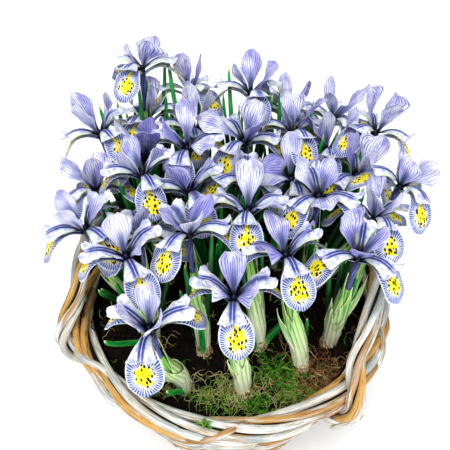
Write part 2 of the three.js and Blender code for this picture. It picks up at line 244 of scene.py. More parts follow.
# Puts parts into one mesh object that rides on the body, and hides the nodes that it stands for
def addPiece(name, parts, paints, nodes=()):
    starts = np.cumsum([0] + [len(part["points"]) for part in parts])
    points, marks = (np.concatenate([part[key] for part in parts]) for key in ("points", "marks"))
    kinds = ("quads", "tris")
    quads, tris = (np.concatenate([part[key] + start for part, start in zip(parts, starts)]) for key in kinds)
    facePaint = np.concatenate([np.full(len(part[key]), part["paint"]) for key in kinds for part in parts])
    corners = np.concatenate([quads.ravel(), tris.ravel()])
    mesh = bpy.data.meshes.new(name)
    mesh.vertices.add(len(points))
    mesh.vertices.foreach_set("co", (points * toMetres).astype(np.float32).ravel())
    mesh.loops.add(len(corners))
    mesh.loops.foreach_set("vertex_index", corners.astype(np.int32))
    mesh.polygons.add(len(facePaint))
    loopStarts = np.concatenate([4 * np.arange(len(quads)), 4 * len(quads) + 3 * np.arange(len(tris))])
    mesh.polygons.foreach_set("loop_start", loopStarts.astype(np.int32))
    mesh.polygons.foreach_set("material_index", facePaint.astype(np.int32))
    mesh.polygons.foreach_set("use_smooth", np.ones(len(facePaint), bool))
    mesh.update(calc_edges=True)
    place = mesh.attributes.new("place", "FLOAT_VECTOR", "POINT")
    place.data.foreach_set("vector", marks[:, :3].astype(np.float32).ravel())
    trait = mesh.attributes.new("trait", "FLOAT", "POINT")
    trait.data.foreach_set("value", marks[:, 3].astype(np.float32))
    for paint in paints:
        mesh.materials.append(paint)
    mesh.validate()
    piece = inScene(name, mesh)
    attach(piece, "root")
    if nodes:
        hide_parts(*nodes)


# Materials


# Linear colour of a web colour
def tint(web):
    shares = np.array([int(web[k : k + 2], 16) / 255 for k in (1, 3, 5)])
    linear = np.where(shares <= 0.04045, shares / 12.92, ((shares + 0.055) / 1.055) ** 2.4)
    return (*linear, 1.0)


# An output in a material's node tree. Arithmetic on it adds a node and gives that node's output.
class Wire:
    def __init__(self, paint, socket):
        self.paint, self.socket = paint, socket

    def __add__(self, other):
        return self.paint.math("ADD", self, other)

    def __sub__(self, other):
        return self.paint.math("SUBTRACT", self, other)

    def __rsub__(self, other):
        return self.paint.math("SUBTRACT", other, self)

    def __mul__(self, other):
        return self.paint.math("MULTIPLY", self, other)

    def __truediv__(self, other):
        return self.paint.math("DIVIDE", self, other)

    def __pow__(self, other):
        return self.paint.math("POWER", self, other)

    def __abs__(self):
        return self.paint.math("ABSOLUTE", self)

    # Size of the sine, which is 0 on lines that lie pi apart
    def ripple(self):
        return abs(self.paint.math("SINE", self))

    # 0 below low and 1 above high, or the other way round where low is above high
    def step(self, low, high):
        inputs = {"Value": self, "From Min": low, "From Max": high}
        return self.paint.add("ShaderNodeMapRange", inputs, interpolation_type="SMOOTHSTEP")


# A material being wired
class Paint:
    def __init__(self, name, roughness, specular=0.5):
        self.material = bpy.data.materials.new(name)
        self.material.use_nodes = True
        self.tree = self.material.node_tree
        self.shader = self.tree.nodes["Principled BSDF"]
        self.fill(self.shader, {"Roughness": roughness, "Specular IOR Level": specular})

    # Links a wire to an input, or sets the input to a constant
    def fill(self, node, inputs):
        for socket, value in inputs.items():
            if isinstance(value, Wire):
                self.tree.links.new(value.socket, node.inputs[socket])
            else:
                node.inputs[socket].default_value = value

    def add(self, kind, inputs, output=0, **settings):
        node = self.tree.nodes.new(kind)
        for key, value in settings.items():
            setattr(node, key, value)
        self.fill(node, inputs)
        return Wire(self, node.outputs[output])

    def math(self, how, *values):
        return self.add("ShaderNodeMath", dict(enumerate(values)), operation=how)

    # What a mesh carries for each point: the three parts of place, and the number trait
    def place(self):
        return self.add("ShaderNodeAttribute", {}, "Vector", attribute_name="place")

    def placeParts(self):
        outputs = self.add("ShaderNodeSeparateXYZ", {0: self.place()}).socket.node.outputs
        return [Wire(self, output) for output in outputs]

    def trait(self):
        return self.add("ShaderNodeAttribute", {}, "Fac", attribute_name="trait")

    def objectPlace(self):
        return self.add("ShaderNodeTexCoord", {}, "Object")

    def stretch(self, vector, x, y, z):
        return self.add("ShaderNodeVectorMath", {0: vector, 1: (x, y, z)}, operation="MULTIPLY")

    # Noise and cells are read at a vector, or at a tuple of its three parts
    def joined(self, at):
        return self.add("ShaderNodeCombineXYZ", dict(enumerate(at))) if isinstance(at, tuple) else at

    def noise(self, at, scale, detail=2.0, rough=0.5):
        inputs = {"Vector": self.joined(at), "Scale": scale, "Detail": detail, "Roughness": rough}
        return self.add("ShaderNodeTexNoise", inputs, "Fac")

    def cells(self, at, scale, loose=1.0):
        inputs = {"Vector": self.joined(at), "Scale": scale, "Randomness": loose}
        return self.add("ShaderNodeTexVoronoi", inputs, "Distance")

    # A number from 0 to 1 that differs from petal to petal
    def mood(self, own):
        return self.math("FRACT", own * 0.37)

    # A colour under coats of other colours, each with the share in which it covers
    def coats(self, colour, *coats):
        for share, coat in coats:
            a, b = (tint(c) if isinstance(c, str) else c for c in (colour, coat))
            colour = self.add("ShaderNodeMix", {0: share, 6: a, 7: b}, 2, data_type="RGBA")
        return colour

    def finish(self, colour, bump=None, depth=0.0003, strength=0.6, **others):
        self.fill(self.shader, {"Base Color": colour, **others})
        if bump is not None:
            inputs = {"Height": bump, "Strength": strength, "Distance": depth}
            self.fill(self.shader, {"Normal": self.add("ShaderNodeBump", inputs)})
        return self.material

    # Light that passes through thin plant tissue
    def soften(self, weight, colour):
        names = ("Subsurface Weight", "Subsurface Radius", "Subsurface Scale")
        self.fill(self.shader, dict(zip(names, (weight, colour, 0.0015))))


# Whitewashed willow: wash over bark, worn off in streaks, with dark grain and small knots, and grey-blue patches
# of painted shade on the wash. The trait of a rod says how much bark shows, from -0.5 for hardly any to 0.9 for
# nearly all, and above 1.5 it is painted near black, as the shade in the gaps between rods.
def willowPaint():
    p = Paint("whitewashedWillow", 0.7)
    place, own = p.place(), p.trait()
    streaks = p.noise(p.stretch(place, 0.45, 0.45, 0.035), 1.0, 4.0, 0.65)
    grain = p.noise(p.stretch(place, 1.3, 1.3, 0.06), 1.0, 4.0, 0.65)
    tone = p.noise(p.stretch(place, 0.1, 0.1, 0.02), 1.0, 1.0)
    knot = p.cells(p.stretch(place, 0.12, 0.12, 0.03), 1.0).step(0.16, 0.07)
    bare = (streaks + own * 0.3 + (tone - 0.5) * 0.3).step(0.50, 0.72)
    bark = p.coats(
        "#80552F",
        (tone.step(0.35, 0.65), "#B98C50"),
        (own.step(0.55, 0.85), "#C49A55"),
        (grain.step(0.54, 0.64) * 0.8, "#553619"),
    )
    colour = p.coats(
        "#E9EBE8",
        (grain.step(0.42, 0.6), "#A5A89F"),
        # Grey-blue patches: painted shade on the wash, in random places
        (tone.step(0.46, 0.66) * 0.7, "#84979F"),
        (streaks.step(0.42, 0.62) * 0.5, "#BFA583"),
        (bare, bark),
        (knot, "#5E3C20"),
        # Near black for the hidden core rods: painted shade in the gaps between the rods
        (own.step(1.3, 1.5), "#17100A"),
    )
    height = grain - bare * 0.3 + knot * 0.8
    return p.finish(colour, height, 0.0007, Roughness=grain.step(-0.6, 1.1))


# Falls: a yellow signal under black dots, and dark blue dashes that fan out from it to a white margin
def fallPaint():
    p = Paint("fallPetal", 0.5, 0.3)
    across, along, own = p.placeParts()
    edge = p.trait()
    down = along - bloom["signalAlong"]
    radius = p.math("SQRT", (across * 1.2) ** 2.0 + down**2.0)
    angle = p.math("ARCTAN2", across, down)
    blotch = p.noise((across, along, own), 0.42, 2.0)
    uneven = blotch - 0.5
    # Veins
    line = (angle * (bloom["veins"] / 2) + uneven * 1.5).ripple()
    dashes = p.noise((angle * 9.0, radius * 0.3, own), 1.0, 1.0)
    width = radius.step(5.0, 12.0) * 0.35 + dashes * 0.7
    vein = (line - width * 0.74).step(0.26, 0.04) * edge.step(0.4, 1.3)
    vein = vein * radius.step(6.4, 7.4) * dashes.step(0.26, 0.36)
    # Signal
    speck = p.noise((across, along, own), 0.7, 1.0)
    patch = (radius + uneven * 8.0).step(7.0, 6.2) * speck.step(0.35, 0.41)
    crest = abs(across).step(1.5, 0.8) * along.step(12.0, 15.0) * down.step(3.0, 1.0)
    haft = along.step(18.0, 12.0) * abs(across).step(0.8, 1.8)
    # Dots
    spots = p.cells((across, along * 0.62, own * 7.0), 0.52, 0.85)
    dot = spots.step(0.42, 0.34) * radius.step(8.2, 7.0) * along.step(17.0, 20.0)
    colour = p.coats(
        "#EEF1F9",
        (blotch.step(0.4, 0.7), "#C9D2EC"),
        (radius.step(7.0, 11.0) * edge.step(0.3, 1.4) * 0.85, "#A4AEDF"),
        (vein * 0.95, p.coats("#070A26", (radius.step(6.5, 13.0), "#22307E"))),
        (p.math("MAXIMUM", patch, crest), p.coats("#FFF200", (speck, "#FFE000"))),
        (haft * 0.5, "#54703E"),
        (dot, "#08070F"),
    )
    p.soften(0.2, (0.8, 0.8, 1.0))
    return p.finish(colour, line + blotch, 0.0003, 0.4)


# Style arms: pearly, with a dark blue stripe along the midrib, double on most, and greenish cream edges
def stylePaint():
    p = Paint("styleArm", 0.45, 0.35)
    across, along, own = p.placeParts()
    edge, side = p.trait(), abs(across)
    blotch = p.noise((across, along, own), 0.3, 2.0)
    double = p.mood(own).step(0.02, 0.08)
    soft = (1.0 - double) * side.step(4.2, 0.2) * 0.9
    crisp = double * side.step(0.12, 0.42) * side.step(2.5, 1.3)
    band = (crisp + soft) * along.step(30.0, 22.0)
    rays = (across * 2.1 + blotch).ripple()
    colour = p.coats(
        "#F1F2FA",
        (blotch.step(0.4, 0.68), "#AFB4DC"),
        (edge.step(2.6, 0.4) * along.step(27.0, 17.0) * 0.9, "#DDE6BA"),
        (rays.step(0.35, 0.05) * along.step(6.0, 16.0) * 0.5, "#8C97D3"),
        (side.step(5.6, 1.0) * along.step(30.0, 12.0) * 0.66, "#6A76B8"),
        (band * 0.95, p.coats("#0E1546", (along.step(6.0, 26.0), "#2F3F92"))),
        (along.step(8.0, 3.0), "#0A0B20"),
    )
    p.soften(0.2, (0.8, 0.85, 1.0))
    return p.finish(colour, rays, 0.00025, 0.4)


# Standards: lavender, with fine clear veins that run up from a striped claw and double towards the end
def standardPaint():
    p = Paint("standardPetal", 0.5, 0.3)
    across, along, own = p.placeParts()
    edge, mood, side = p.trait(), p.mood(own), abs(across)
    blotch = p.noise((across, along * 0.5, own), 0.16, 2.0)
    share = across / (side + (edge + 0.2))
    drift = p.noise((share * 2.0, along * 0.09, own), 1.0, 2.0)
    wave = share * 17.0 + drift * 5.0
    line, between = wave.ripple(), abs(p.math("COSINE", wave))
    dashes = p.noise((share * 9.0, along * 0.2, own), 1.0, 2.0)
    vein = line.step(0.5, 0.2) * dashes.step(0.28, 0.42)
    finer = between.step(0.42, 0.14) * along.step(20.0, 30.0) * dashes.step(0.66, 0.5) * 0.85
    colour = p.coats(
        "#EEEFFA",
        (blotch.step(0.38, 0.64), "#A4A2D6"),
        (between.step(0.6, 0.0) * 0.35, "#FFFFFF"),
        (edge.step(1.2, 0.1) * 0.8, "#ECEDFA"),
        (p.math("MAXIMUM", vein, finer) * 0.9, "#3F3A8A"),
        (along.step(25.0, 9.0) * 0.55, "#6569B6"),
        (mood.step(0.62, 0.92) * 0.5, "#6A63BC"),
        (mood.step(0.34, 0.06) * 0.2, "#F2F3FC"),
        (along.step(21.0, 7.0) * side.step(3.0, 0.6) * 0.85, "#203A5C"),
        (along.step(6.0, 1.5), "#100E26"),
    )
    p.soften(0.2, (0.7, 0.7, 1.0))
    return p.finish(colour, line, 0.0003, 0.45)


# Flower tube: nearly black at the heart, violet below
def tubePaint():
    p = Paint("flowerTube", 0.45, 0.4)
    x, y, along = p.placeParts()
    streaks = p.noise((x, y, along * 0.05), 1.6, 2.0)
    heart = p.trait().step(0.5, 0.9)
    colour = p.coats("#3B3566", (streaks.step(0.4, 0.6), "#6E78B8"), (heart, "#0C0F2C"))
    return p.finish(colour, streaks, 0.0002, 0.4)


# Sheaths: papery cream at the neck and fresh green above, in fine lengthwise stripes
def sheathPaint():
    p = Paint("sheath", 0.5, 0.4)
    across, along, own = p.placeParts()
    drift = p.noise((across * 0.35, along * 0.02, own), 1.0, 2.0)
    stripes = p.math("SINE", across * 2.2 + drift * 9.0)
    fine = p.noise((across * 2.6, along * 0.05, own), 1.0, 3.0)
    height = along + drift * 40.0
    colour = p.coats(
        "#F8F8E2",
        (height.step(34.0, 90.0), "#A3DA62"),
        (stripes.step(0.0, 0.8) * 0.8, p.coats("#DCEBB4", (height.step(32.0, 78.0), "#22982F"))),
        (fine.step(0.54, 0.68) * 0.6, "#F4F3D8"),
        (fine.step(0.44, 0.34) * 0.25, "#7FA050"),
        (height.step(30.0, 18.0), "#F6F0DA"),
        (p.trait().step(0.8, 0.1) * 0.8, "#F1F1CE"),
    )
    p.soften(0.15, (0.6, 1.0, 0.4))
    return p.finish(colour, stripes + fine, 0.0004)


# Leaves: four-angled, deep green with pale rib lines and a pale horny tip, and painted shade on one side. The
# leaves between the flowers have along past 800, and are painted near black below the tip, as the shade between
# the flowers.
def leafPaint():
    p = Paint("irisLeaf", 0.38, 0.5)
    x, y, along = p.placeParts()
    share = p.trait()
    turn = p.math("ARCTAN2", y, x)
    ribs = (turn * 2.0).ripple()
    drift = p.noise((x, y, along * 0.08), 0.9, 3.0)
    colour = p.coats(
        "#05752F",
        (drift.step(0.35, 0.65), "#1CAE46"),
        # Darker on one side of the leaf: painted shade
        (turn.step(0.2, 1.4) * 0.6, "#044A26"),
        (ribs.step(0.2, 0.03) * 0.7, "#8FCF7E"),
        # Near black below the tip of the leaves between the flowers: painted shade in the gaps between the
        # flowers
        (along.step(800.0, 850.0) * share.step(0.95, 0.7) * 0.82, "#02150C"),
        (share.step(0.26, 0.04), "#CFE0A0"),
        (share.step(0.945, 0.985), "#DDE79A"),
    )
    p.soften(0.08, (0.4, 1.0, 0.3))
    return p.finish(colour, ribs + drift, 0.0004, 0.5)


# Bulb: a netted tunic of tan fibres over cream
def bulbPaint():
    p = Paint("nettedBulb", 0.75)
    place = p.objectPlace()
    net = p.cells(p.stretch(place, 1.0, 1.0, 0.45), 520.0)
    fibre = p.noise(p.stretch(place, 1.0, 1.0, 0.12), 900.0, 3.0)
    colour = p.coats("#CDB88C", (net.step(0.25, 0.6), "#7A5431"), (fibre.step(0.45, 0.65), "#E3D8BC"))
    return p.finish(colour, net + fibre, 0.0006, 0.8)


# Damp potting soil
def soilPaint():
    p = Paint("pottingSoil", 0.9, 0.3)
    place = p.objectPlace()
    crumbs, grit, patches = p.cells(place, 420.0), p.noise(place, 900.0, 5.0, 0.7), p.noise(place, 60.0)
    dry = patches.step(0.5, 0.7) * grit.step(0.55, 0.7)
    colour = p.coats("#070504", (grit.step(0.35, 0.7), "#2E1D14"), (dry, "#5A3826"))
    return p.finish(colour, crumbs + grit, 0.0015, 1.0)


# Moss and litter: the trait of a thread runs from dark green at 0 through yellow-green to cream at 1, and
# on through tan to the dark brown of dead stems at 2
def mossPaint():
    p = Paint("mossThread", 0.7, 0.3)
    own, grain = p.trait(), p.noise(p.place(), 1.4, 2.0)
    pale = p.coats("#9DBF4E", (own.step(0.6, 1.0), "#DCD3A0"))
    litter = p.coats("#B98E5E", (own.step(1.3, 1.9), "#4A2A1E"))
    colour = p.coats(
        "#0D4518",
        (own.step(0.0, 0.4), "#4DA52C"),
        (own.step(0.35, 0.65), pale),
        (own.step(1.0, 1.2), litter),
        (grain.step(0.5, 0.7) * 0.4, "#4A3A1C"),
    )
    return p.finish(colour, grain)


# Liner: glossy dark film with dust in its creases
def linerPaint():
    p = Paint("linerFilm", 0.3, 0.6)
    dust = p.noise(p.objectPlace(), 700.0, 4.0, 0.7)
    cloud = p.noise(p.objectPlace(), 45.0, 3.0)
    dusty = p.coats("#0A0B0C", (dust.step(0.5, 0.68), "#4A5257"))
    colour = p.coats("#040405", (cloud.step(0.42, 0.68), dusty))
    return p.finish(colour, dust + cloud, 0.0006, 0.7, Roughness=cloud * 0.7 + 0.02)


def floorPaint():
    p = Paint("paleFloor", 0.85, 0.2)
    return p.finish(p.coats("#FFFFFF", (p.noise(p.objectPlace(), 6.0), "#FCFCFC")))


# Basket

willow = {
    "wallFoot": 76, "wallHead": 112, "baseThick": 8, "wallTop": 108, "rimRadius": 114, "rimHeight": 117.8,
    "stakes": 16, "rows": 10, "weaverRadius": 2.45, "stakeRadius": 1.9, "swing": 3.5,
    "pointsPerStake": 13, "overlap": 0.16, "stakeShifts": (-0.022, 0.022), "gapShadeTone": 1.6,
    "weaverTones": (-0.5, 0.7), "stakeTones": (-0.2, 0.9), "stakeFoot": 3.5, "stakeAbove": 9, "stakeLean": 0.16,
}


def wallRadius(z):
    share = (z - willow["baseThick"]) / (willow["wallTop"] - willow["baseThick"])
    return willow["wallFoot"] + (willow["wallHead"] - willow["wallFoot"]) * share


# Two weavers lie side by side in each row. Round the wall their radius swings by swing tanh(2.2 cos 8a), which
# puts them before one stake and behind the next, and the rows take turns. The ends thin out and tuck in.
def wallWeave(rng):
    parts = []
    stakes, bottom, top = willow["stakes"], willow["baseThick"], willow["wallTop"]
    rowHeight = (top - bottom - 0.4) / willow["rows"]
    count = stakes * willow["pointsPerStake"]
    share = np.linspace(0, 1, count)
    ends = taper(share, 0.012, 0.02)
    for row in range(willow["rows"]):
        for side in (-1, 1):
            angle = np.linspace(0, fullTurn + willow["overlap"], count) + rng.uniform(0, fullTurn)
            z = bottom + rowHeight * (row + 0.5) + side * rowHeight / 4 + wander(rng, count, 34, 0.45)
            swing = -(-1) ** row * willow["swing"] * np.tanh(2.2 * np.cos(stakes / 2 * angle))
            radius = wallRadius(z) + swing + wander(rng, count, 40, 0.35) - 1.6 * (1 - ends)
            thick = willow["weaverRadius"] * (1 + wander(rng, count, 22, 0.09)) * (0.45 + 0.55 * ends)
            parts.append(rods(polar(radius, angle, z), thick, own=rng.uniform(*willow["weaverTones"])))
    head = top + willow["stakeAbove"]
    z = np.linspace(willow["stakeFoot"], head, 26)
    angle = around(stakes)[:, None]
    lean = rise(z, top - 4, head) * willow["stakeLean"]
    radius = np.maximum(wallRadius(z), 72) - 5 * rise(-z, -9, -3)
    for shift in willow["stakeShifts"]:
        own = rng.uniform(*willow["stakeTones"], stakes)
        paths = polar(radius[None], angle + lean + shift, z[None])
        parts.append(rods(paths, willow["stakeRadius"], 8, polar(1.0, angle, 0.0), own))
    return parts


underside = {
    "rings": (9, 73, 4.3), "ringSteps": 100, "ringRadius": 2.15, "swing": 1.4, "spokeEnds": (2, 76),
    "spokeRadius": 1.9, "footRadius": 76.4, "footStrands": 4, "footTurns": 22, "footRoll": (2.3, 2.1),
    "strandRadius": 1.75, "ringTones": (-0.5, 0.5), "spokeTones": (-0.2, 0.5), "strandTones": (-0.3, 0.8),
}


# Rings of weavers over and under the spokes of the base, with a foot ring of twisted strands
def wovenBase(rng):
    parts = []
    middle, spokes, steps = willow["baseThick"] / 2, willow["stakes"], underside["ringSteps"]
    for ring, radius in enumerate(np.arange(*underside["rings"])):
        angle = np.linspace(0, fullTurn + 0.05, steps) + rng.uniform(0, 6)
        z = middle + (-1) ** ring * underside["swing"] * np.cos(spokes / 2 * angle)
        path = polar(radius + wander(rng, steps, 12, 0.5), angle, z)
        thick = underside["ringRadius"] + wander(rng, steps, 9, 0.15)
        parts.append(rods(path, thick, 6, own=rng.uniform(*underside["ringTones"])))
    angle = around(spokes)[:, None]
    paths = polar(np.linspace(*underside["spokeEnds"], 12)[None], angle, middle)
    parts.append(rods(paths, underside["spokeRadius"], own=rng.uniform(*underside["spokeTones"], spokes)))
    angle = np.linspace(0, fullTurn + 0.04, 220)
    wide, deep = underside["footRoll"]
    for strand in range(underside["footStrands"]):
        roll = underside["footTurns"] * angle + strand * fullTurn / underside["footStrands"]
        path = polar(underside["footRadius"] + wide * np.cos(roll), angle, middle + deep * np.sin(roll))
        parts.append(rods(path, underside["strandRadius"], own=rng.uniform(*underside["strandTones"])))
    return parts


rim = {
    "strands": 6, "turns": 3, "strandRadius": 2.85, "spread": 6.5, "rodsEach": 3, "overlap": 0.16, "steps": 100,
    "tones": [-0.5, -0.2, 0.1, 0.35, 0.7, 0.9], "coreRadius": 4.4, "longSteps": 200,
    "innerRods": [[108.0, 110.6], [108.6, 105.6], [107.6, 115.0]], "innerRadius": 2.6,
    "crossings": 5, "crossRadius": 2.4, "crossSpan": 0.8, "crossSteps": 60, "crossTones": (-0.5, 0.6),
    "innerTones": (-0.3, 0.5),
}


# Strand k winds round the rim's middle circle at spread from it, at the angle turns a + 2 pi k / strands. It is
# made of a few rods in turn, each of which starts and ends deep in the border. Short rods cross the other way.
def rimBorder(rng):
    parts = []
    middle, height, steps, long = willow["rimRadius"], willow["rimHeight"], rim["steps"], rim["longSteps"]
    share = np.linspace(0, 1, steps)
    deep = 1 - taper(share, 0.16, 0.16)
    reach = fullTurn / rim["rodsEach"]
    for k in range(rim["strands"]):
        start = rng.uniform(0, reach)
        for j in range(rim["rodsEach"]):
            angle = start + reach * j + np.linspace(-rim["overlap"], reach + rim["overlap"], steps)
            roll = rim["turns"] * angle + fullTurn * k / rim["strands"] + wander(rng, steps, 6, 0.35)
            spread = (rim["spread"] + wander(rng, steps, 8, 0.6)) * (1 - 0.6 * deep)
            path = polar(middle + spread * np.cos(roll), angle, height - spread * np.sin(roll))
            thick = rim["strandRadius"] * rng.uniform(0.86, 1.06) * (1 + wander(rng, steps, 12, 0.07))
            parts.append(rods(path, thick * (1 - 0.35 * deep), 10, own=rng.choice(rim["tones"])))
    angle = np.linspace(0, fullTurn + 0.02, long)
    core = polar(middle + wander(rng, long, 20, 0.6), angle, height - 0.6)
    # The core rod is painted near black, as the shade between the strands
    parts.append(rods(core, rim["coreRadius"], own=willow["gapShadeTone"]))
    for out, up in rim["innerRods"]:
        path = polar(out + wander(rng, long, 18, 0.4), angle, up + wander(rng, long, 18, 0.5))
        parts.append(rods(path, rim["innerRadius"], own=rng.uniform(*rim["innerTones"])))
    share = np.linspace(0, 1, rim["crossSteps"])
    for k in range(rim["crossings"]):
        start = fullTurn * (k + rng.uniform(0.1, 0.6)) / rim["crossings"]
        roll = -np.pi * 1.15 + 2.1 * np.pi * share
        spread = 2.6 + 5.0 * taper(share, 0.3, 0.3)
        out, up = middle + spread * np.cos(roll), height + spread * np.sin(roll)
        path = polar(out, start + rim["crossSpan"] * share, up)
        parts.append(rods(path, rim["crossRadius"], own=rng.uniform(*rim["crossTones"])))
    return parts


handle = {
    "turn": np.radians(-15), "spread": np.radians(34), "foot": 88, "top": 163, "half": 7, "press": 1.4,
    "wallHalf": 2.6, "rimHalf": 9.4, "rodRadius": 2.6, "tones": (-0.4, 0.35, 0.8, 0.0), "offset": 4.3,
    "twist": 12, "steps": 150, "lashRadius": 1.05, "lashHeights": [92.0, 94.6, 97.2], "lashOut": 4.6,
    "lashHalf": (10.2, 8.2), "lashTones": (0, 0.8),
}


# Rods twisted round the arch: each keeps offset from its middle line, at the angle twist u + 2 pi k / rods.
# Thin split willow binds the feet to the weave.
def earHandle(rng, turn):
    top, foot, steps = handle["top"], handle["foot"], handle["steps"]
    footRadius = wallRadius(foot) + handle["wallHalf"] + handle["half"]
    side = willow["rimRadius"] + handle["rimHalf"] + handle["half"] - handle["press"]
    # One half from its foot up: share of the spread, radius, height
    half = np.array([
        [1, footRadius, foot - 6],
        [1, side - 0.5, willow["wallTop"] + 8],
        [0.94, side - 6, willow["wallTop"] + 23],
        [0.8, side - 15, willow["wallTop"] + 34],
        [0.45, side - 20, top - 8],
    ])
    share, radius, height = np.concatenate([half * [-1, 1, 1], [[0, side - 22, top]], half[::-1]]).T
    middle = curveThrough(polar(radius, turn + share * handle["spread"], height), steps)
    outward = polar(1.0, turn, 0.0)
    a, b = squareTo(middle, outward)
    u = np.linspace(0, 1, steps)
    ends = taper(u, 0.04, 0.04)
    parts = []
    for k, tone in enumerate(handle["tones"]):
        roll = handle["twist"] * u + fullTurn * k / len(handle["tones"]) + wander(rng, steps, 9, 0.25)
        away = handle["offset"] + wander(rng, steps, 9, 0.3)
        thick = handle["rodRadius"] * (1 + wander(rng, steps, 18, 0.08)) * (0.5 + 0.5 * ends)
        parts.append(rods(middle + away[:, None] * aside(roll, a, b), thick, 9, outward, tone))
    # The core rod is painted near black, as the shade between the twisted rods
    parts.append(rods(middle, handle["rodRadius"] * 0.9, 8, outward, willow["gapShadeTone"]))
    t = np.linspace(0, fullTurn, 34)[None, :, None]
    z = np.array(handle["lashHeights"])[:, None, None]
    deep, wide = handle["lashHalf"]
    for way in (-1, 1):
        azimuth = turn + way * handle["spread"]
        out, level = polar(1.0, azimuth, 0.0), polar(1.0, azimuth + np.pi / 2, 0.0)
        loops = (wallRadius(z) + handle["lashOut"] + deep * np.cos(t)) * out + wide * np.sin(t) * level
        loops = loops + (z + 0.6 * np.sin(t)) * upward
        parts.append(rods(loops, handle["lashRadius"], 6, own=rng.uniform(*handle["lashTones"], len(loops))))
    return parts


# Liner and soil

pot = {
    "linerGap": 7.0, "linerWall": 1.4, "linerTop": 112, "linerWidest": 103.8, "film": 0.45, "crumple": 1.5,
    "flare": 1.8, "soilGap": 0.4, "soilEdge": 103, "soilCrown": 112, "lump": 1.3, "crumbs": 2600,
    "crumbSize": (0.5, 1.7),
}


def linerRadius(z):
    return np.minimum(wallRadius(z) - pot["linerGap"], pot["linerWidest"])


def soilSide(z):
    return linerRadius(z) - pot["linerWall"] - pot["soilGap"]


# Height of the soil: from the crown down to the edge by the square of the distance, with low lumps
def soilTop(x, y):
    out = np.minimum(np.hypot(x, y) / soilSide(pot["soilEdge"]), 1)
    lumps = pot["lump"] * np.sin(x / 11 + 1) * np.cos(y / 9) * (1 - out)
    return pot["soilCrown"] + (pot["soilEdge"] - pot["soilCrown"]) * out**2 + lumps


# A surface turned about Z from an outline of (radius, height), each moved by shift(radius, height, angle)
def turned(outline, sides, shift):
    angle = around(sides)[None]
    radius, height = shift(outline[:, :1], outline[:, 1:], angle)
    rings = polar(radius, angle, height)
    marks = np.concatenate([rings, np.zeros((*rings.shape[:2], 1))], axis=-1)
    return loft(rings[None], marks[None])


# Thin cup whose film creases more towards its free edge, which rises and dips
def potLiner():
    low, high = willow["baseThick"] + 0.4, pot["linerTop"]
    levels = [np.linspace(low + 6, high - 14, 8), np.linspace(high - 11, high, 9)]
    outside = np.concatenate([[low + 1], *levels])
    inside = np.concatenate([outside[::-1][:-1], [low + 2.4]])
    outline = np.concatenate([
        [[2, low]],
        np.stack([linerRadius(outside), outside], axis=1),
        np.stack([linerRadius(inside) - pot["film"], inside], axis=1),
        [[2, low + 1.4]],
    ])

    def shift(radius, height, angle):
        free, top = rise(height, high - 34, high), rise(height, high - 12, high)
        x, y = np.cos(angle), np.sin(angle)
        crease = relief(
            np.random.default_rng(5), radius * x * 1.4, radius * y * 1.4 + height * 1.3, 46, 7, 9
        )
        creased = pot["crumple"] * (np.abs(crease) * 2 - 0.8) * (0.25 + free * 0.8)
        lip = relief(np.random.default_rng(8), 104 * x, 104 * y, 70, 14, 6)
        atRim = pot["flare"] * rise(height, high - 18, high - 8)
        return radius + creased + atRim, height + (3.2 * lip + 4.5) * top

    return [turned(outline, 260, shift)]


# Closed body of soil: underside, side and a lumpy top, with many crumbs strewn over it. Each crumb has three
# rings of five points.
def soilBody(rng):
    floor = willow["baseThick"] + 2.2
    top = np.linspace(1, 0, 60)[:-1, None]
    edge = soilSide(pot["soilEdge"])
    outline = np.concatenate([
        [[3, floor], [soilSide(floor) - 1, floor], [soilSide(60), 60]],
        np.concatenate([edge * top, np.full_like(top, pot["soilEdge"])], axis=1),
    ])

    def shift(radius, height, angle):
        x, y = radius * np.cos(angle), radius * np.sin(angle)
        rough = relief(np.random.default_rng(3), x, y, 24, 2.6, 12)
        surface = soilTop(x, y) + 1.5 * rough * rise(edge - radius, 0, 6)
        return radius + 0 * angle, np.where(height > 100, surface, height)

    count = pot["crumbs"]
    reach = (edge - 2) * np.sqrt(rng.uniform(0, 1, count))
    at = polar(reach, rng.uniform(0, fullTurn, count), 0.0)
    at[:, 2] = soilTop(at[:, 0], at[:, 1]) + rng.uniform(-0.2, 1.4, count)
    size = rng.uniform(*pot["crumbSize"], count) * rng.uniform(0.6, 1.2, count)
    level = np.array([-0.7, 0.1, 0.75])[None, :, None]
    grid = (count, 3, 5)
    angle = around(5) + rng.uniform(0, 6, (count, 1, 1))
    girth = np.sqrt(1 - level**2) * rng.uniform(0.6, 1.25, grid)
    rings = polar(girth, angle, level * rng.uniform(0.7, 1.1, grid)) * size[:, None, None, None]
    return [turned(outline, 200, shift), loft(rings + at[:, None, None], np.zeros((*grid, 4)))]


# Each patch of moss or litter: its middle, its spread, how many threads and sprigs, and the range of tones
moss = {
    "patches": [
        [(38, -66), (13, 9), 110, 110, (0.0, 0.7)],
        [(64, -66), (11, 10), 330, 16, (1.0, 2.0)],
        [(46, -80), (9, 4), 70, 40, (0.3, 1.9)],
        [(-4, -82), (13, 5), 170, 12, (0.4, 1.1)],
        [(22, -88), (12, 4), 50, 46, (0.0, 0.9)],
        [(-46, -72), (14, 8), 50, 10, (0.3, 1.4)],
        [(0, -10), (52, 48), 200, 30, (0.2, 1.9)],
        [(14, -76), (34, 9), 70, 6, (0.9, 1.1)],
    ],
    "length": (7, 24), "thick": (0.26, 0.55), "steps": 8, "edge": 97, "leavesEach": 13, "onRim": 7,
}


# Places strewn round the middle of a patch, drawn in to the edge of the soil
def strewn(rng, middle, spread, count):
    x, y = rng.normal(middle[0], spread[0], count), rng.normal(middle[1], spread[1], count)
    tooFar = np.maximum(np.hypot(x, y) / moss["edge"], 1)
    return x / tooFar, y / tooFar


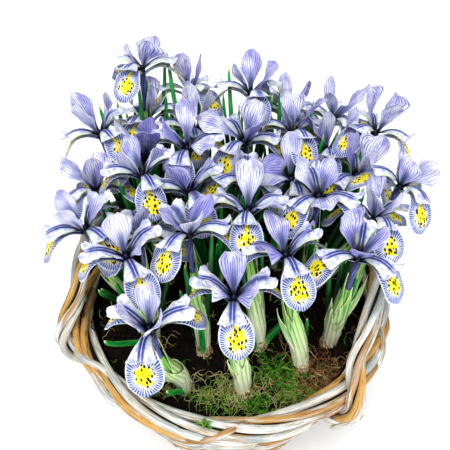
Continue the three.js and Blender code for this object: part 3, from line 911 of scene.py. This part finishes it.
# Threads start on the soil and bend at random, so each arches up and comes down again. Sprigs are short stems
# with small pointed leaves all round.
def mossPatch(rng, middle, spread, threads, sprigs, tones):
    steps, each = moss["steps"], (threads, 1)
    x, y = strewn(rng, middle, spread, threads)
    length = rng.uniform(*moss["length"], each)
    heading = rng.uniform(0, fullTurn, each) + np.cumsum(rng.normal(0, 0.62, (threads, steps)), axis=1)
    share = np.linspace(0, 1, steps)[None]
    px = x[:, None] + np.cumsum(np.cos(heading), axis=1) * length / steps * 0.8
    py = y[:, None] + np.cumsum(np.sin(heading), axis=1) * length / steps * 0.8
    arch = rng.uniform(0.1, 0.4, each) * length * np.sin(np.pi * share * rng.uniform(0.6, 1.1, each))
    inside = np.maximum(np.hypot(px, py) / (moss["edge"] + 4), 1)
    px, py = px / inside, py / inside
    paths = np.stack([px, py, soilTop(px, py) + 0.4 + arch], axis=-1)
    thick = rng.uniform(*moss["thick"], each) * (1 - 0.55 * share)
    strands = rods(paths, thick, 3, own=rng.uniform(*tones, threads))
    x, y = strewn(rng, middle, np.array(spread) * 0.8, sprigs)
    base = np.stack([x, y, soilTop(x, y) + 0.5], axis=-1)
    return [strands, *sprigParts(rng, base, tones[0])]


def sprigParts(rng, base, tone):
    count, leaves = len(base), moss["leavesEach"]
    stem = unit(rng.normal(0, 1, (count, 3)) * [1, 1, 0.3] + [0, 0, 0.9]) * rng.uniform(4, 9, (count, 1))
    at = rng.uniform(0.1, 1, (count, leaves, 1))
    root = (base[:, None] + at * stem[:, None]).reshape(-1, 3)
    way = unit(rng.normal(0, 1, root.shape) + np.repeat(unit(stem), leaves, axis=0) * 0.9)
    share = np.linspace(0, 1, 4)[None, :, None]
    paths = root[:, None] + way[:, None] * share * rng.uniform(1.4, 3.0, (len(root), 1, 1))
    own = np.repeat(tone + rng.uniform(0, 0.3, count), leaves) + rng.uniform(0, 0.5, len(root))
    stems = base[:, None] + stem[:, None] * share
    leafThick, stemThick = np.array([[0.14, 0.34, 0.26, 0.05]]), 0.22
    stemOwn = tone + rng.uniform(0.2, 0.5, count)
    return [rods(paths, leafThick, 3, own=own), rods(stems, stemThick, 3, own=stemOwn)]


def mossTangle(rng):
    parts = [part for patch in moss["patches"] for part in mossPatch(rng, *patch)]
    onRim = polar(rng.uniform(111, 117, moss["onRim"]), np.radians(rng.uniform(-101, -97, moss["onRim"])), 125.6)
    return parts + sprigParts(rng, onRim, 0.0)


# Irises

# Stations along the petals in the flower's own frame: [distance out, height, half width]
bloom = {
    "heart": 198, "tube": 30, "leanShare": 0.6, "signalAlong": 28.4, "veins": 42,
    "fall": [
        [3.0, -0.6, 2.4], [7, 1.8, 2.6], [12, 3.9, 3.8], [16.5, 4.4, 6.6], [20.5, 3.4, 9.0], [25, 0.4, 10.4],
        [29, -3.8, 10.4], [32, -7.6, 9.0], [33.8, -10.2, 6.8], [34.8, -11.8, 4.2], [35.2, -12.4, 0.8],
    ],
    "styleArm": [
        [2.4, 3.6, 1.9], [7, 8.2, 3.4], [12.5, 11.0, 4.8], [18, 11.3, 6.5], [23, 9.9, 8.2], [26.5, 8.7, 9.2],
        [28.4, 8.6, 8.6],
    ],
    "standard": [
        [2.2, 4.5, 1.5], [4.8, 11.4, 2.2], [7.8, 18.5, 5.2], [10.8, 26, 8.4], [13.4, 33, 9.4],
        [15.2, 38.2, 8.0], [16.2, 41.2, 4.4],
    ],
    # Stations of the tube: [height, radius]
    "tubeShape": [[-31, 1.6], [-18, 1.75], [-6, 2.5], [0, 3.1], [3.5, 2.6], [6.5, 0.8]],
    # Rows and columns of each petal, and the fewer ones of flowers that stand behind farFrom
    "fallGrid": [(26, 13), (18, 9)], "styleGrid": [(20, 14), (14, 9)], "standardGrid": [(22, 11), (15, 8)],
    "farFrom": 20,
    # The turns and the rise that a solid flower may have taken from its place in the list
    "turnPlayFront": 20, "turnPlayBack": 54, "risePlay": 6,
    # Standards: how far they lean out, also before frontEnd, and how far one of them droops near the middle.
    # Their size goes by how far back the flower stands, and a flower higher than tallest has shorter ones.
    "flop": (-6, 11), "flopFront": (2, 13), "frontEnd": -20, "flopDroop": (15, 27), "droopWithin": 84,
    "standardSize": [(-60, (0.6, 0.84)), (40, (0.66, 0.92)), (200, (0.8, 1.0))],
    "tallest": 225, "tallestSize": 0.76,
}
# Where the hearts stand in the basket: [x, y, rise above the usual height, turn in degrees]
flowerList = [
    [-47, -90, -6, 265], [3, -70, -2, 268], [36, -40, 4, 285], [82, -38, 3, 198], [-66, -40, 2, 46],
    [-27, -24, 8, 240], [12, -4, 2, 260], [-98, -8, -4, 185], [-28, 20, 0, 290], [60, 8, 6, 275],
    [100, 4, -4, 0], [-62, 30, 6, 188], [10, 36, 8, 290], [45, 46, 0, 280], [92, 46, 4, 270],
    [-98, 36, -2, 170], [-32, 60, 6, 275], [10, 74, 2, 265], [48, 86, 8, 260], [76, 84, -2, 265],
    [-66, 72, 0, 210], [-98, 78, 6, 150], [-30, 98, 0, 280], [16, 118, 22, 270], [-66, 112, 8, 250],
    [46, 122, 0, 275], [82, 112, 8, 280], [-34, 136, 6, 90], [-62, -5, -8, 100], [120, 28, 0, 350],
    [110, 84, 4, 30], [-70, 124, 34, 250],
]
# Where the tips of the leaves of the solids are
leafTips = [
    [-100, 92, 232], [-50, 134, 252], [-44, 78, 226], [-8, 80, 228], [28, 130, 243],
    [64, 104, 230], [14, 14, 228], [-6, 12, 205], [56, -38, 168], [88, -26, 172],
    [-82, -72, 158], [-40, -98, 140], [-78, -6, 206], [-48, -8, 196], [30, 10, 200],
    [74, 44, 222], [-80, 46, 214], [98, 62, 216], [12, -50, 150], [-20, -54, 170],
    [38, 114, 234], [-2, 132, 242],
]
# Which flowers grow from each bulb, counted from 1, in the order of the shoots nodes
bulbFlowers = [
    [1], [2], [6], [7], [3], [4, 11], [5, 29], [8, 16], [12], [9, 13], [10, 30], [14, 19], [15, 20, 31],
    [21, 22, 32], [17, 23, 25, 28], [18, 24], [26, 27],
]


def nodePoints(name):
    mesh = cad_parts[name].data
    points = np.empty(len(mesh.vertices) * 3)
    mesh.vertices.foreach_get("co", points)
    return points.reshape(-1, 3) / toMetres


def distances(points, others):
    return np.linalg.norm(points[:, None] - others[None], axis=2).min(axis=1)


# Outer corners of the nine blades of a solid flower in its own frame: station end, plus and minus its
# half thickness square to the last slope
def bladeCorners():
    corners = []
    for first, (out, height, half), before in (
        (0, (33.5, -9.5, 5.5), (28, -2.6)), (0, (27.5, 8.5, 8.2), (16, 10.8)), (1, (15, 38, 6.2), (9, 21)),
    ):
        slope = np.arctan2(height - before[1], out - before[0])
        face, side = np.meshgrid([-0.45, 0.45], [-half, half])
        out, height = out - face * np.sin(slope), height + face * np.cos(slope)
        corner = np.stack([out, side, height], axis=-1).reshape(-1, 3)
        corners += [corner @ turnZ(np.pi / 3 * (first + 2 * k)).T for k in range(3)]
    return np.concatenate(corners)


# Where a bulb's node is: the middle of its flat underside, and its depth above that
def bulbNose(points):
    lowest = points[points[:, 2] < points[:, 2].min() + 0.05]
    return (lowest.min(axis=0) + lowest.max(axis=0)) / 2 + upward * shoot["bulbDepth"]


# A flower's axis follows the slant from its bulb to its heart in part. The node tells which small turn and rise
# it settled at: the one whose blade corners lie on the node's own points.
def settledFlower(number, nose):
    x, y, lift, turn = flowerList[number - 1]
    cad, corners = nodePoints(f"flower_{number}"), bladeCorners()
    play = bloom["turnPlayFront"] if y < 0 else bloom["turnPlayBack"]
    best = None
    for rising in (0, 1, -1):
        heart = np.array([x, y, bloom["heart"] + lift + rising * bloom["risePlay"]])
        axis = unit(upward + bloom["leanShare"] * (unit(heart - nose) - upward))
        for swing in (0, 0.25, -0.25, 0.5, -0.5, 0.75, -0.75, 1, -1):
            stand = standOn(axis) @ turnZ(np.radians(turn + swing * play))
            miss = np.minimum(distances(corners @ stand.T + heart, cad), 1).mean()
            if best is None or miss < best["miss"]:
                best = {"heart": heart, "stand": stand, "axis": axis, "miss": miss}
    best["foot"] = best["heart"] - best["axis"] * (bloom["tube"] + 0.4)
    return best


# Fall: gutter-shaped haft, then a round blade that bends down, with a raised ridge and a wavy margin
def fallPart(rng, far):
    own, droop, wave = rng.uniform(*ownRange), rng.uniform(0.6, 2.6), rng.uniform(0.3, 1.1)
    phase, lop = rng.uniform(0, 6.3, 2), rng.normal(0, 0.5)

    def lift(s, v):
        onBlade = rise(s, 0.34, 0.62)
        gutter = 1.5 * v**2 * (1 - onBlade)
        ridge = 0.8 * np.exp(-((v / 0.13) ** 2)) * rise(s, 0.1, 0.3) * (1 - rise(s, 0.55, 0.72))
        start = np.where(v > 0, phase[0], phase[1])
        ruffle = wave * abs(v) ** 2.5 * np.sin(s * 15 + start) * onBlade
        return gutter + ridge + ruffle - droop * v**2 * onBlade + lop * v * onBlade

    profile = np.array(bloom["fall"], float)
    hang = rng.uniform(-1.6, 1.2)
    profile[4:, 1] += hang * np.linspace(0, 1, 7)
    profile[3:8, 2] *= rng.uniform(1.0, 1.1)
    return blade(profile, *bloom["fallGrid"][far], 0.42, lift, own, paint=0)


# Style arm: an arch over the haft whose end parts into two ragged lobes that turn up
def stylePart(rng, far):
    own, phase, curl = rng.uniform(*ownRange), rng.uniform(0, 6.3, 3), rng.uniform(1.5, 5.5)

    def reach(v):
        lobes = 0.84 + 0.15 * np.sin(np.pi * np.clip(abs(v), 0, 0.97)) ** 0.8
        ragged = 0.022 * np.sin(17 * v + phase[0]) + 0.014 * np.sin(29 * v + phase[1])
        return np.clip(lobes + ragged * abs(v) ** 0.5, 0.4, 1)

    def lift(s, v):
        arch = -2.8 * v**2 * rise(s, 0, 0.35) * (1 - rise(s, 0.72, 0.98))
        crest = curl * rise(s, 0.78, 1.0) * (abs(v) + 0.1)
        crease = -0.5 * np.exp(-((v / 0.16) ** 2)) * (1 - rise(s, 0.0, 0.9))
        return arch + crest + crease + 0.5 * abs(v) * np.sin(9 * s + phase[2]) * rise(s, 0.6, 0.9)

    profile = np.array(bloom["styleArm"], float)
    profile[-2:, 0] += rng.uniform(-1.2, 1.0)
    return blade(profile, *bloom["styleGrid"][far], 0.4, lift, own, reach, paint=1)


# Standard: a narrow claw that opens into a broad blade, notched or pointed, with a wavy end. It leans outward
# by flop, and folds and twists.
def standardPart(rng, flop, size, far):
    own, fold, wave = rng.uniform(*ownRange), rng.uniform(-8.5, 5.5), rng.uniform(1.0, 3.2)
    phase, lop, notch = rng.uniform(0, 6.3, 3), rng.normal(0, 3.2), rng.uniform(0.0, 0.12)
    skew, point = rng.normal(0, 0.05), rng.uniform(0.05, 0.5)

    def reach(v):
        cleft = 1 - notch * np.exp(-(((v - skew * 3) / 0.2) ** 2)) - skew * v - point * v**2
        return np.clip(cleft - 0.012 * (1 + np.sin(13 * v + phase[2])) - 0.03, 0.5, 1)

    def lift(s, v):
        open_ = rise(s, 0.25, 0.75)
        start = np.where(v > 0, phase[0], phase[1])
        ruffle = wave * v**2 * np.sin(s * 11 + start) * open_
        return -1.1 * v**2 * (1 - open_) + fold * v**2 * open_ + ruffle + lop * v * open_

    profile = np.array(bloom["standard"], float)
    share = np.linspace(0, 1, len(profile)) ** 1.6
    profile[:, 0] += flop * share
    profile[:, 1] = profile[:, 1] * rng.uniform(0.88, 1.02) - flop**2 / 30 * share
    profile[:, :2] *= size
    profile[:, 2] *= rng.uniform(0.74, 1.14)
    return blade(profile, *bloom["standardGrid"][far], 0.36, lift, own, reach, paint=2)


# Slender tube up to the heart, where the petals meet. Its own mark rises from 0 at the foot to 1 at the heart.
def tubePart():
    low, high = bloom["tubeShape"][0][0], bloom["tubeShape"][-1][0]
    part = upright(bloom["tubeShape"], 16, 10, paint=3)
    part["marks"][:, 3] = (part["points"][:, 2] - low) / (high - low)
    return part


# The value in a list of (limit, value) for a place this far back
def forDepth(choices, y):
    return next(value for limit, value in choices if y < limit)


def bloomParts(rng, flower):
    parts = [tubePart()]
    x, y, z = flower["heart"]
    far = int(y >= bloom["farFrom"])
    flops = rng.uniform(*bloom["flopFront" if y < bloom["frontEnd"] else "flop"], 3)
    sizes = rng.uniform(*forDepth(bloom["standardSize"], y), 3)
    sizes *= bloom["tallestSize"] if z > bloom["tallest"] else 1
    if np.hypot(x, y) < bloom["droopWithin"]:
        flops[rng.integers(3)] = rng.uniform(*bloom["flopDroop"])
    for k in range(3):
        angle = fullTurn * k / 3
        parts.append(placed(fallPart(rng, far), turnZ(angle + rng.normal(0, 0.04))))
        parts.append(placed(stylePart(rng, far), turnZ(angle + rng.normal(0, 0.03))))
        standard = standardPart(rng, flops[k], sizes[k], far)
        parts.append(placed(standard, turnZ(angle + np.pi / 3 + rng.normal(0, 0.09))))
    return [placed(part, flower["stand"], flower["heart"]) for part in parts]


shoot = {
    "bulbDepth": 24, "sheathHalf": 5.6, "sheathRise": 36, "swelling": [0.75, 1, 0.9, 0.42],
    "wrapGirth": [(0, 4.0), (0.2, 5.4), (0.45, 6.2), (0.7, 4.8), (1, 2.8)], "wrapTurn": 2.2,
    "wraps": [(1.0, 0.86), (0.86, 0.96), (0.7, 1.06), (0.52, 1.16)], "wrapColumns": 9,
    "spears": 2, "spearAway": (6, 12), "spearTop": (0.7, 1.0), "spearGirth": (0.55, 0.75),
    "leafHalf": 2.6, "leafTip": 0.7,
    # Steps along a shoot and a wrap, and the fewer ones of flowers behind farFrom
    "lineSteps": (40, 26), "wrapSteps": (24, 16),
    # Stations of the bulb: [height over its nose, radius]
    "bulbShape": [[-25, 1.0], [-23, 5.5], [-15, 9.6], [-8, 9.8], [-1, 6.8], [4, 5.0], [8, 4.6]],
    # Leaves beside each flower: how many by how far back it stands, how far out and how high over the heart.
    # They stay within besideSide of the middle, clear of the handles.
    "besideCount": [(-60, 0), (-30, 1), (20, 6), (60, 12), (200, 18)],
    "besideAway": (6, 24), "besideHeight": (-60, 10), "besideSide": 94,
}


# Level direction from a bulb's nose to a point
def levelWay(nose, point):
    return unit(np.array([point[0] - nose[0], point[1] - nose[1], 0.0]))


# Middle line of a shoot: a cubic curve from inside the bulb, straight up, then in line with the flower's tube
def sheathLine(nose, flower, count):
    start = nose + levelWay(nose, flower["foot"]) * 1.5
    start[2] = nose[2] - 8
    bend = flower["foot"] - flower["axis"] * 0.7 * shoot["sheathRise"]
    line = bezier(start, start + upward * shoot["sheathRise"], bend, flower["foot"], count)
    beyond = flower["foot"] + flower["axis"] * np.linspace(2, bloom["tube"] - 4, count // 3)[:, None]
    return line, np.concatenate([line, beyond])


# Leaf-like sheath rolled round the shoot: at share s and v its point stands at radius R(s) from the middle line,
# at the angle facing - curl(s) v, and the roll narrows to a long point
def wrapPart(rng, middle, top, radius, facing, steps):
    s = np.linspace(0, 1, steps)[:, None]
    theta = around(2 * shoot["wrapColumns"])
    v, skin = np.cos(theta), np.sin(theta)
    u = np.linspace(0, 1, len(middle))
    line = np.stack([np.interp(s[:, 0] * top, u, middle[:, k]) for k in range(3)], axis=1)
    girth = np.interp(s[:, 0] * top, *zip(*shoot["wrapGirth"]))[:, None] * radius
    tangent = unit(np.gradient(line, axis=0))
    a = unit(np.cross(tangent, [0, 1, 0.01]))
    b = np.cross(tangent, a)
    curl = 2.6 * (1 - rise(s, 0.12, 1.04)) + 0.04
    angle = facing - curl * v + 0.3 * np.sin(3 * s + facing)
    away = girth * (1 + 0.05 * np.cos(5 * angle)) + 0.28 * skin
    rings = line[:, None] + away[..., None] * aside(angle, a[:, None], b[:, None])
    along = gone(line)[:, None] + 0 * v
    edge = np.minimum((1 - abs(v)) * girth * curl, along[-1] - along)
    own = np.full_like(along, rng.uniform(*ownRange))
    marks = np.stack([girth * curl * v, along, own, edge], axis=-1)
    return loft(rings[None], marks[None], 0, flat=True)


# Inner tube of a shoot, which shows where the wraps part
def corePart(middle, own):
    u = np.linspace(0, 1, len(middle))
    radius = np.interp(u, np.linspace(0, 1, 4), shoot["swelling"]) * shoot["sheathHalf"] * 0.78
    part = rods(middle, radius, 12, sideways, own)
    x, y, along, _ = part["marks"].T
    across, deepInside = np.abs(np.arctan2(y, x)) * 4, np.full(len(x), 3.0)
    part["marks"] = np.stack([across, along - ownApart * own, np.full(len(x), own), deepInside], axis=-1)
    return part


# Leaf with four ribs: its section is a square with hollow sides, and it tapers to a hard tip
def leafPart(nose, tip, own, sides=16, steps=34):
    start = nose + levelWay(nose, tip) * 3
    start[2] = nose[2] - 6
    bend = tip + (start - tip) * 0.12
    bend[2] = nose[2] + (tip[2] - nose[2]) * 0.65
    middle = bezier(start, start + upward * 0.4 * (tip[2] - nose[2]), bend, tip, steps)
    u = np.linspace(0, 1, steps)
    radius = shoot["leafHalf"] + (shoot["leafTip"] - shoot["leafHalf"]) * u**6
    radius *= 1 - 0.9 * rise(u, 0.94, 1.0)

    def section(theta):
        return 1 - 0.3 * np.sin(2 * theta) ** 2

    part = rods(middle, radius, sides, polar(1.0, np.pi / 4, 0.0), own, 1, section)
    part["marks"][:, 3] = (part["marks"][:, 2] - ownApart * own) / gone(middle)[-1]
    return part


# Bulb: a drop shape with shallow ribs, whose neck stands out of the soil
def bulbPart(nose):
    def ribs(theta):
        return 1 + 0.035 * np.sin(9 * theta)

    return upright(shoot["bulbShape"], 18, 20, nose, paint=2, shape=ribs)


def shootParts(rng, nose, members, tips):
    parts = [bulbPart(nose)]
    for flower in members:
        far = int(flower["heart"][1] >= bloom["farFrom"])
        steps = shoot["wrapSteps"][far]
        middle, longer = sheathLine(nose, flower, shoot["lineSteps"][far])
        parts.append(corePart(middle, rng.uniform(*ownRange)))
        facing = rng.uniform(0, fullTurn)
        for k, (top, radius) in enumerate(shoot["wraps"]):
            reach = top * rng.uniform(0.9, 1.0)
            parts.append(wrapPart(rng, longer, reach, radius, facing + shoot["wrapTurn"] * k, steps))
        for k in range(shoot["spears"]):
            end = flower["foot"] + polar(rng.uniform(*shoot["spearAway"]), rng.uniform(0, fullTurn), -4.0)
            start = nose - upward * 6
            line = bezier(start, start + upward * shoot["sheathRise"], end - upward * 30, end, 40)
            top, radius = rng.uniform(*shoot["spearTop"]), rng.uniform(*shoot["spearGirth"])
            parts.append(wrapPart(rng, line, top, radius, rng.uniform(0, fullTurn), steps))
        # Slender leaves beside each flower, with fewer sides and steps than the leaves of the solids. Their own
        # numbers of 3 to 4 put them past 800 along, so they are painted near black below the tip, as the shade
        # between the flowers
        for k in range(forDepth(shoot["besideCount"], flower["heart"][1])):
            away, height = rng.uniform(*shoot["besideAway"]), rng.uniform(*shoot["besideHeight"])
            tip = flower["heart"] + polar(away, rng.uniform(0, fullTurn), height)
            tip[0] = np.clip(tip[0], -shoot["besideSide"], shoot["besideSide"])
            parts.append(leafPart(nose, tip, rng.uniform(3, 4), 8, 16))
    for tip in tips:
        parts.append(leafPart(nose, np.array(tip, float), rng.uniform(0, 1)))
    return parts


# Making the pieces

woodPaint = willowPaint()
addPiece("wovenBase", wovenBase(np.random.default_rng(11)), [woodPaint], ["basket_base"])
addPiece("wallWeave", wallWeave(np.random.default_rng(12)), [woodPaint], ["basket_wall"])
addPiece("rimBorder", rimBorder(np.random.default_rng(13)), [woodPaint], ["basket_rim"])
for side, turn in (("right", handle["turn"]), ("left", handle["turn"] + np.pi)):
    parts = earHandle(np.random.default_rng(14), turn)
    addPiece(side + "Handle", parts, [woodPaint], ["handle_" + side])
print("basket woven")

addPiece("potLiner", potLiner(), [linerPaint()], ["liner"])
addPiece("pottingSoil", soilBody(np.random.default_rng(16)), [soilPaint()], ["soil"])
addPiece("mossTangle", mossTangle(np.random.default_rng(17)), [mossPaint()])
print("liner, soil and moss laid")

greens = [sheathPaint(), leafPaint(), bulbPaint()]
bulbs = [nodePoints(f"shoots_{i + 1}") for i in range(len(bulbFlowers))]
tipHome = np.argmin([distances(np.array(leafTips, float), points) for points in bulbs], axis=0)
flowers = {}
for i, (numbers, points) in enumerate(zip(bulbFlowers, bulbs)):
    nose = bulbNose(points)
    members = [settledFlower(number, nose) for number in numbers]
    flowers.update(zip(numbers, members))
    tips = [tip for tip, home in zip(leafTips, tipHome) if home == i]
    parts = shootParts(np.random.default_rng(100 + i), nose, members, tips)
    addPiece(f"shootGroup{i + 1}", parts, greens, [f"shoots_{i + 1}"])
print("shoots on", len(bulbs), "bulbs")

petals = [fallPaint(), stylePaint(), standardPaint(), tubePaint()]
for number, flower in sorted(flowers.items()):
    parts = bloomParts(np.random.default_rng(199 + number), flower)
    addPiece(f"iris{number}", parts, petals, [f"flower_{number}"])
worst = max(flower["miss"] for flower in flowers.values())
print("flowers:", len(flowers), "worst fit to its solid", round(worst, 2), "mm")

# Room, light and camera

studio = {
    "floorHalf": 3.0, "airColour": (0.95, 0.97, 1.0, 1), "airStrength": 0.76, "target": (0, 0, 0.15),
    # Soft lights: name, power, size, place and colour
    "lamps": [
        ("keyLight", 14, 0.8, (-0.25, -0.6, 1.6), (1, 0.98, 0.95)),
        ("fillLight", 4, 0.9, (0.35, -1.0, 0.5), (1, 0.99, 0.97)),
    ],
    "cameraPlace": (0.0, -0.321, 0.508), "pitch": 44.4, "yaw": 0.62, "sensor": 36, "focal": 51.84,
}
corners = [(x * studio["floorHalf"], y * studio["floorHalf"], 0) for x, y in ((-1, -1), (1, -1), (1, 1), (-1, 1))]
floorMesh = bpy.data.meshes.new("paleFloor")
floorMesh.from_pydata(corners, [], [(0, 1, 2, 3)])
floorMesh.materials.append(floorPaint())
inScene("paleFloor", floorMesh)

world = bpy.data.worlds.new("studioAir")
world.use_nodes = True
air = world.node_tree.nodes["Background"].inputs
air["Color"].default_value, air["Strength"].default_value = studio["airColour"], studio["airStrength"]
bpy.context.scene.world = world

for name, power, size, place, colour in studio["lamps"]:
    lamp = bpy.data.lights.new(name, "AREA")
    lamp.energy, lamp.size, lamp.color = power, size, colour
    holder = inScene(name, lamp)
    holder.location = place
    x, y, z = np.array(place) - studio["target"]
    holder.rotation_euler = (np.arctan2(np.hypot(x, y), z), 0, np.arctan2(x, -y))

lens = bpy.data.cameras.new("photoCamera")
lens.sensor_width, lens.lens = studio["sensor"], studio["focal"]
lens.clip_start, lens.clip_end = 0.01, 20
camera = inScene("photoCamera", lens)
camera.location = studio["cameraPlace"]
camera.rotation_euler = np.radians([90 - studio["pitch"], 0, studio["yaw"]])
bpy.context.scene.camera = camera
bpy.context.scene.view_settings.view_transform = "Standard"
bpy.context.scene.view_settings.look = "Medium High Contrast"
print("studio set")
